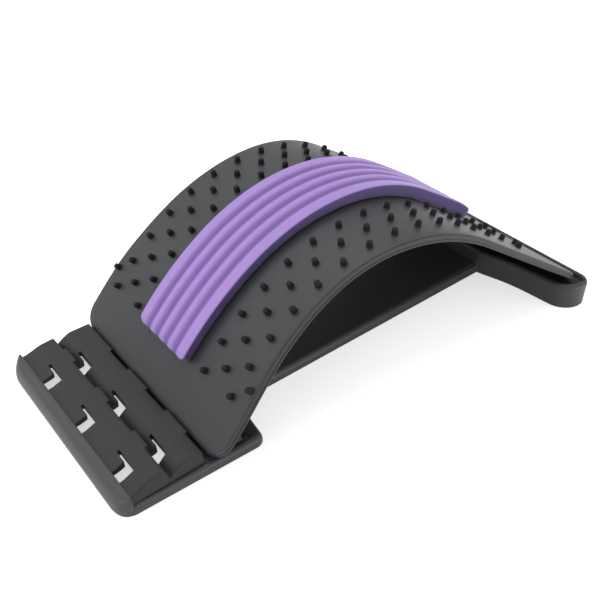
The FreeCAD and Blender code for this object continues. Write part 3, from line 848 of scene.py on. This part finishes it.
# %% Block as a landscape with holes
BLOCK_NEAR = -178.5
BLOCK_FAR = -97.5
BLOCK_HALF = 77.3
SEAT = 6.5
WALL = 3.0
NEAR_WALL = 0.3
HAIR = 0.12
SIDE_ROUND = 0.9
SIDE_STEPS = (0.0, 0.12, 0.35, SIDE_ROUND)
SIDE_DRAFT = 0.19
BLOCK_CREASE = math.radians(38)
# The first crest reaches out as a lug beside each slot. The second is wider in the merlons,
# next to the prongs, and from REAR_CREST on.
LUG_FRONT, LUG_REAR, LUG_END = -4.2, 12.3, -145
MERLON_SHIFT, MERLON_HALF, MERLON_START = 3.3, 12.25, -140
REAR_CREST = 60
# Each row: its near and far ends, the arm's width, the front, and the ends of wide part and arm.
SLOT_ROWS = [
    (-177.9, -167.1, 2.0, -14.2, -4.2, 5.0),
    (-152.9, -145.8, 2.0, -14.2, -4.2, 5.0),
    (-123.5, -118.6, 3.2, -11.5, -2.0, 7.5),
]
tooth_line = [
    (-178.5, 12.3), (-177.6, 12.4), (-175.0, 12.9), (-171.5, 14.2), (-168.4, 15.4), (-166.4, 16.1),
    (-164.6, 16.55), (-162.0, 16.85), (-158.0, 17.15), (-155.8, 17.2), (-155.2, 17.0), (-154.9, 16.5),
    (-153.2, 10.9), (-152.9, 10.45), (-152.5, 10.4), (-152.0, 10.8), (-150.2, 12.3), (-148.0, 13.9),
    (-145.8, 15.2), (-144.2, 16.0), (-143.2, 16.3), (-142.0, 16.42), (-136.0, 16.45), (-128.9, 16.4),
    (-128.3, 16.15), (-128.0, 15.5), (-127.8, 8.6), (-127.5, 8.2), (-122.7, 8.2), (-121.9, 8.6),
    (-111.0, 16.8), (-109.6, 17.4), (-108.0, 17.6), (-105.2, 17.6), (-104.6, 17.3), (-104.2, 16.7),
    (-101.9, 8.8), (-101.3, 8.2), (-97.9, 8.2), (-97.5, 7.8),
]


def redrawn(start, end, part):
    """The teeth's side line with another part between two places."""
    return [p for p in tooth_line if p[0] <= start] + part + [p for p in tooth_line if p[0] >= end]


lug_line = redrawn(-155.8, -152.0, [(-153.3, 17.2), (-152.7, 17.0), (-152.4, 16.4), (-152.2, 11.0)])
notch_line = redrawn(-136.0, -127.5, [(-130.9, 16.4), (-130.3, 16.15), (-130.0, 15.5), (-129.8, 8.6)])


def line_height(line, x):
    """Height of a side line at a place along it."""
    for (x0, z0), (x1, z1) in zip(line, line[1:]):
        if x <= x1:
            return z0 + (z1 - z0) * (x - x0) / (x1 - x0)
    return line[-1][1]


def in_merlon(y):
    """Whether a place across lies in a wider part of the second crest."""
    return y > REAR_CREST or any(abs(y - c - MERLON_SHIFT) < MERLON_HALF for c in SLOT_CENTRES)


def in_lug(y):
    """Whether a place across lies in a lug of the first crest."""
    return any(LUG_FRONT < y - c < LUG_REAR for c in SLOT_CENTRES)


def block_top(x, y):
    """Height of the block's upper face."""
    line = lug_line if in_lug(y) and x < LUG_END else tooth_line
    if not in_merlon(y) and x > MERLON_START:
        line = notch_line
    outward = SIDE_ROUND - min(BLOCK_HALF - abs(y), SIDE_ROUND)
    drop = SIDE_ROUND - math.sqrt(SIDE_ROUND ** 2 - outward ** 2)
    return line_height(line, x) - drop


def block_low(x, y):
    """Height of the underside: one wall below the lowest face near by, and flat on the ledge."""
    if min(BLOCK_FAR - x, BLOCK_HALF - abs(y)) < WALL or x < BLOCK_NEAR + NEAR_WALL:
        return SEAT
    reach = (-WALL, -WALL / 2, 0, WALL / 2, WALL)
    near_by = [line_height(line, x + d) for line in (tooth_line, notch_line) for d in reach]
    return max(SEAT, min(near_by) - WALL)


def in_slot(x, y):
    """Whether a place lies in the wide part or the arm of a slot."""
    for near, far, arm, front, wide_end, arm_end in SLOT_ROWS:
        for c in SLOT_CENTRES:
            if near < x < far and front < y - c < wide_end:
                return True
            if far - arm < x < far and front < y - c < arm_end:
                return True
    return False


def grid_lines():
    """Places along X and along Y where the landscape changes."""
    xs = {x for line in (tooth_line, lug_line, notch_line) for x, z in line}
    near_inside = BLOCK_NEAR + NEAR_WALL
    xs |= {near_inside - HAIR, near_inside, BLOCK_FAR - WALL, BLOCK_FAR - WALL + HAIR}
    for near, far, arm, front, wide_end, arm_end in SLOT_ROWS:
        xs |= {near, far - arm, far}
    insets = (*SIDE_STEPS, WALL - HAIR, WALL)
    ys = {side * (BLOCK_HALF - inset) for side in (-1, 1) for inset in insets}
    for c in SLOT_CENTRES:
        ys |= {c + edge for row in SLOT_ROWS for edge in row[3:]}
        for step in (LUG_FRONT, LUG_REAR, MERLON_SHIFT - MERLON_HALF, MERLON_SHIFT + MERLON_HALF):
            ys |= {c + step - HAIR, c + step + HAIR}
    return sorted(xs), sorted(ys)


def tooth_block():
    """Block as a closed mesh: a top and an underside for each cell, and walls round each gap."""
    xs, ys = grid_lines()
    solid = {(i, j) for i in range(len(xs) - 1) for j in range(len(ys) - 1)
             if not in_slot((xs[i] + xs[i + 1]) / 2, (ys[j] + ys[j + 1]) / 2)}
    points = []
    index = {}

    def corner(i, j, upper):
        key = (i, j, upper)
        if key not in index:
            x, y = xs[i], ys[j]
            z = block_top(x, y) if upper else block_low(x, y)
            lean = 1 - (z - SEAT) * SIDE_DRAFT / BLOCK_HALF
            index[key] = len(points)
            points.append((x * MM, y * lean * MM, z * MM))
        return index[key]

    faces = []
    for i, j in sorted(solid):
        ring = [(i, j), (i + 1, j), (i + 1, j + 1), (i, j + 1)]
        faces.append([corner(a, b, True) for a, b in ring])
        faces.append([corner(a, b, False) for a, b in reversed(ring)])
        neighbours = [(i, j - 1), (i + 1, j), (i, j + 1), (i - 1, j)]
        for a, b, neighbour in zip(ring, ring[1:] + ring[:1], neighbours):
            if neighbour not in solid:
                faces.append([corner(*a, False), corner(*b, False), corner(*b, True), corner(*a, True)])
    return new_piece("tooth_block", points, faces, block_finish)


block = tooth_block()
shade_smooth(block, BLOCK_CREASE)
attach(block, "base")
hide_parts("step_block")
print("block faces:", len(block.data.polygons))

# %% [markdown]
# ## The base board
#
# The board's solid is loose triangles with knife-sharp edges. A copy is merged, flat areas are
# made whole again, and every sharp edge is broken by a third of a millimetre, which catches the
# light as on a real moulding. Three places differ from the solid, as the photo shows them: the
# skirt under the near edge is steeper, the block's seat begins nearer to that edge, and the
# neck leaves the near block in a tighter corner.

# %% Board copy with broken edges
SKIRT_START = -178.8 * MM
SKIRT_SHARE = 0.744
WAIST_NEAR = -89.0 * MM
WAIST_FAR = -40.0 * MM
WAIST_SHARE = 0.35
SEAT_WALL = (-176.5 * MM, -174.5 * MM)
SEAT_WALL_HALF = 76 * MM
SEAT_WALL_MOVED = -178.0 * MM
MERGE = 0.01 * MM
FLAT = math.radians(0.6)
SHARP = math.radians(40)
EDGE_BREAK = 0.35 * MM
WELD = 0.02 * MM


def board_copy():
    """Copy of the board's solid with whole faces, the three moved places and broken edges."""
    mesh = nodes["base_board"].data.copy()
    shape = bmesh.new()
    shape.from_mesh(mesh)
    bmesh.ops.remove_doubles(shape, verts=shape.verts, dist=MERGE)
    bmesh.ops.dissolve_limit(shape, angle_limit=FLAT, verts=shape.verts, edges=shape.edges)
    for vertex in shape.verts:
        if vertex.co.x < SKIRT_START:
            vertex.co.x = SKIRT_START + (vertex.co.x - SKIRT_START) * SKIRT_SHARE
        elif SEAT_WALL[0] < vertex.co.x < SEAT_WALL[1] and abs(vertex.co.y) < SEAT_WALL_HALF:
            vertex.co.x = SEAT_WALL_MOVED
        elif WAIST_NEAR < vertex.co.x < WAIST_FAR:
            vertex.co.x = WAIST_NEAR + (vertex.co.x - WAIST_NEAR) * WAIST_SHARE
    sharp = [e for e in shape.edges if len(e.link_faces) == 2 and e.calc_face_angle() > SHARP]
    bmesh.ops.bevel(shape, geom=sharp, offset=EDGE_BREAK, offset_type="OFFSET", segments=2, profile=0.6,
                    affect="EDGES", clamp_overlap=True)
    bmesh.ops.remove_doubles(shape, verts=shape.verts, dist=WELD)
    bmesh.ops.dissolve_degenerate(shape, edges=shape.edges, dist=WELD)
    shape.to_mesh(mesh)
    shape.free()
    mesh.materials.clear()
    mesh.materials.append(board_finish)
    return put("board_shell", mesh)


board = board_copy()
print("board faces:", len(board.data.polygons))

# %% [markdown]
# ### The kerb along the near edge
#
# A rounded kerb runs in front of the block. It is drawn as sections, one for each place along
# Y. They share one profile, which narrows where the kerb turns the corner at its two ends, and
# is cut lower there by a cap.

# %% Near kerb
KERB_START = -187.4
KERB_END = -178.55
KERB_HALF = 79.0
KERB_CORNER = 12.0
KERB_TIP = 1.0
KERB_BASE = 5.0
KERB_SECTIONS = 80
BOARD_CREASE = math.radians(32)
kerb_profile = [(0.0, 1.0), (0.1, 3.0), (0.5, 5.4), (1.3, 7.7), (2.5, 9.8), (4.0, 11.5), (5.6, 12.7),
               (7.0, 13.3), (8.2, 13.5)]
cap_line = [(0.0, 11.4), (0.25, 12.4), (0.7, 13.1), (1.4, 13.5)]


def near_kerb():
    """Rounded kerb in front of the block."""
    points = []
    for k in range(KERB_SECTIONS + 1):
        y = -KERB_HALF * math.cos(math.pi * k / KERB_SECTIONS)
        inside = KERB_HALF - abs(y)
        past = max(0.0, KERB_CORNER - inside) / KERB_CORNER
        out = KERB_START + (KERB_END - KERB_START - KERB_TIP) * (1 - math.sqrt(1 - past ** 2))
        share = (KERB_END - out) / (KERB_END - KERB_START)
        cap = line_height(cap_line, inside)
        section = [(out + inset * share, min(z, cap)) for inset, z in kerb_profile]
        section += [(KERB_END, cap), (KERB_END, KERB_BASE)]
        points += [(x * MM, y * MM, z * MM) for x, z in section]
    width = len(section)
    faces = [tuple(range(width))[::-1], tuple(range(len(points) - width, len(points)))]
    for s in range(KERB_SECTIONS):
        for k in range(width):
            a = s * width + k
            b = s * width + (k + 1) % width
            faces.append((a, b, b + width, a + width))
    return new_piece("near_kerb", points, faces, board_finish)


join(board, [near_kerb()])
shade_smooth(board, BOARD_CREASE)
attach(board, "base")
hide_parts("base_board")
print("board faces with the kerb:", len(board.data.polygons))

# %% [markdown]
# ## Feet and tape
#
# These solids are shown as the CAD model made them, and each gets its finish.

# %% Finishes on the CAD solids
def dress(node, finish):
    """Gives a CAD solid its finish."""
    piece = nodes[node]
    piece.data.materials.clear()
    piece.data.materials.append(finish)


dress("pad_adhesive", tape_finish)
for word in ("near_front", "near_rear", "far_front", "far_rear"):
    dress("foot_" + word, foot_finish)
print("dressed:", [n for n in nodes if not nodes[n].hide_render])

# %% [markdown]
# ## Floor, light and camera
#
# The product stands on a white sweep under a wide overhead light, which is why its upper faces
# are soft grey and its sides fall to near black. The floor is plain white and keeps the shadow.
# The world is white where it is seen, and dimmer in the light it gives.

# %% Floor and world
FLOOR_HALF = 3.0
FLOOR_GLOW = 0.60
WORLD_LIGHT = 0.58


def seen_rays(tree):
    """1 for the rays of camera, reflections and glass, 0 for the light that a surface gives."""
    path = tree.add("ShaderNodeLightPath", {}, {}, "Is Camera Ray")
    return (path + path.other("Is Glossy Ray") + path.other("Is Transmission Ray")).clamped()


def white_floor():
    """Plain white sheet that glows a little for the rays that see it."""
    material, tree, place = new_surface("sweep_white")
    cloud = noise(tree, place, 0.4, 2.0, 90.0)
    paper = tree.add("ShaderNodeBsdfPrincipled", {}, {
        "Base Color": tree.mix(cloud, (0.90, 0.90, 0.90, 1), (0.94, 0.94, 0.94, 1)), "Roughness": 0.9,
        "Specular IOR Level": 0.1})
    glow = tree.add("ShaderNodeEmission", {}, {"Color": (1, 1, 1, 1), "Strength": FLOOR_GLOW})
    black = tree.add("ShaderNodeEmission", {}, {"Strength": 0.0})
    lift = tree.add("ShaderNodeMixShader", {}, {0: seen_rays(tree), 1: black, 2: glow})
    both = tree.add("ShaderNodeAddShader", {}, {0: paper, 1: lift})
    tree.add("ShaderNodeOutputMaterial", {}, {"Surface": both})
    corners = [(x * FLOOR_HALF, y * FLOOR_HALF, 0) for x, y in ((-1, -1), (1, -1), (1, 1), (-1, 1))]
    floor = new_piece("sweep", corners, [(0, 1, 2, 3)], material)


def white_world():
    """White as seen, dimmer as a light."""
    world = bpy.data.worlds.new("studio")
    world.use_nodes = True
    world.node_tree.nodes.clear()
    tree = Tree(world.node_tree)
    light = tree.add("ShaderNodeBackground", {}, {"Color": (1, 1, 1, 1), "Strength": WORLD_LIGHT})
    shown = tree.add("ShaderNodeBackground", {}, {"Color": (1, 1, 1, 1), "Strength": 1.0})
    mixed = tree.add("ShaderNodeMixShader", {}, {0: seen_rays(tree), 1: light, 2: shown})
    tree.add("ShaderNodeOutputWorld", {}, {"Surface": mixed})
    bpy.context.scene.world = world


white_floor()
white_world()
print("floor and world ready")

# %% Softboxes
def softbox(name, place, target, width, height, power):
    """Rectangular lamp at a place, turned to a target."""
    lamp = bpy.data.lights.new(name, "AREA")
    lamp.shape = "RECTANGLE"
    lamp.size = width
    lamp.size_y = height
    lamp.energy = power
    box = put(name, lamp)
    box.location = place
    box.rotation_mode = "QUATERNION"
    box.rotation_quaternion = (Vector(target) - Vector(place)).to_track_quat("-Z", "Y")


middle = (0.0, 0.0, 0.05)
softbox("overhead", (0.10, 0.45, 1.30), middle, 1.4, 1.2, 11)
softbox("back_left", (-0.9, 0.9, 0.9), middle, 0.9, 0.9, 5)
softbox("low_left", (-1.1, 0.0, 0.22), (-0.18, 0.0, 0.01), 0.9, 0.30, 3.0)
softbox("low_front", (0.5, -1.1, 0.16), middle, 1.2, 0.30, 6.5)

# %% [markdown]
# ### Camera
#
# The camera was fitted to the photograph, to the places of the pins, the slots and the outline:
# its place, its turn, how high it looks from, its small roll and its lens all come from that.

# %% Camera
CAMERA_TURN = -0.66635
CAMERA_RAISE = 0.66345
CAMERA_ROLL = -0.00930
CAMERA_PLACE = Vector((-0.2715, -0.3506, 0.3665))
LENS = 46.26
SENSOR = 36.0


def photo_camera():
    """Camera that looks down on the near end from the front."""
    flat = math.cos(CAMERA_RAISE)
    back = Vector((math.sin(CAMERA_TURN) * flat, -math.cos(CAMERA_TURN) * flat, math.sin(CAMERA_RAISE)))
    level = back.cross(Vector((0, 0, -1))).normalized()
    upright = back.cross(level)
    right = math.cos(CAMERA_ROLL) * level + math.sin(CAMERA_ROLL) * upright
    up = -math.sin(CAMERA_ROLL) * level + math.cos(CAMERA_ROLL) * upright
    data = bpy.data.cameras.new("photo_view")
    data.lens = LENS
    data.sensor_width = SENSOR
    data.clip_start = 0.01
    camera = put("photo_view", data)
    turn = Matrix((right, up, back)).transposed().to_4x4()
    camera.matrix_world = Matrix.Translation(CAMERA_PLACE) @ turn
    bpy.context.scene.camera = camera
    return camera


camera = photo_camera()
bpy.context.scene.view_settings.view_transform = "Standard"
print("camera at", [round(v, 4) for v in camera.location])
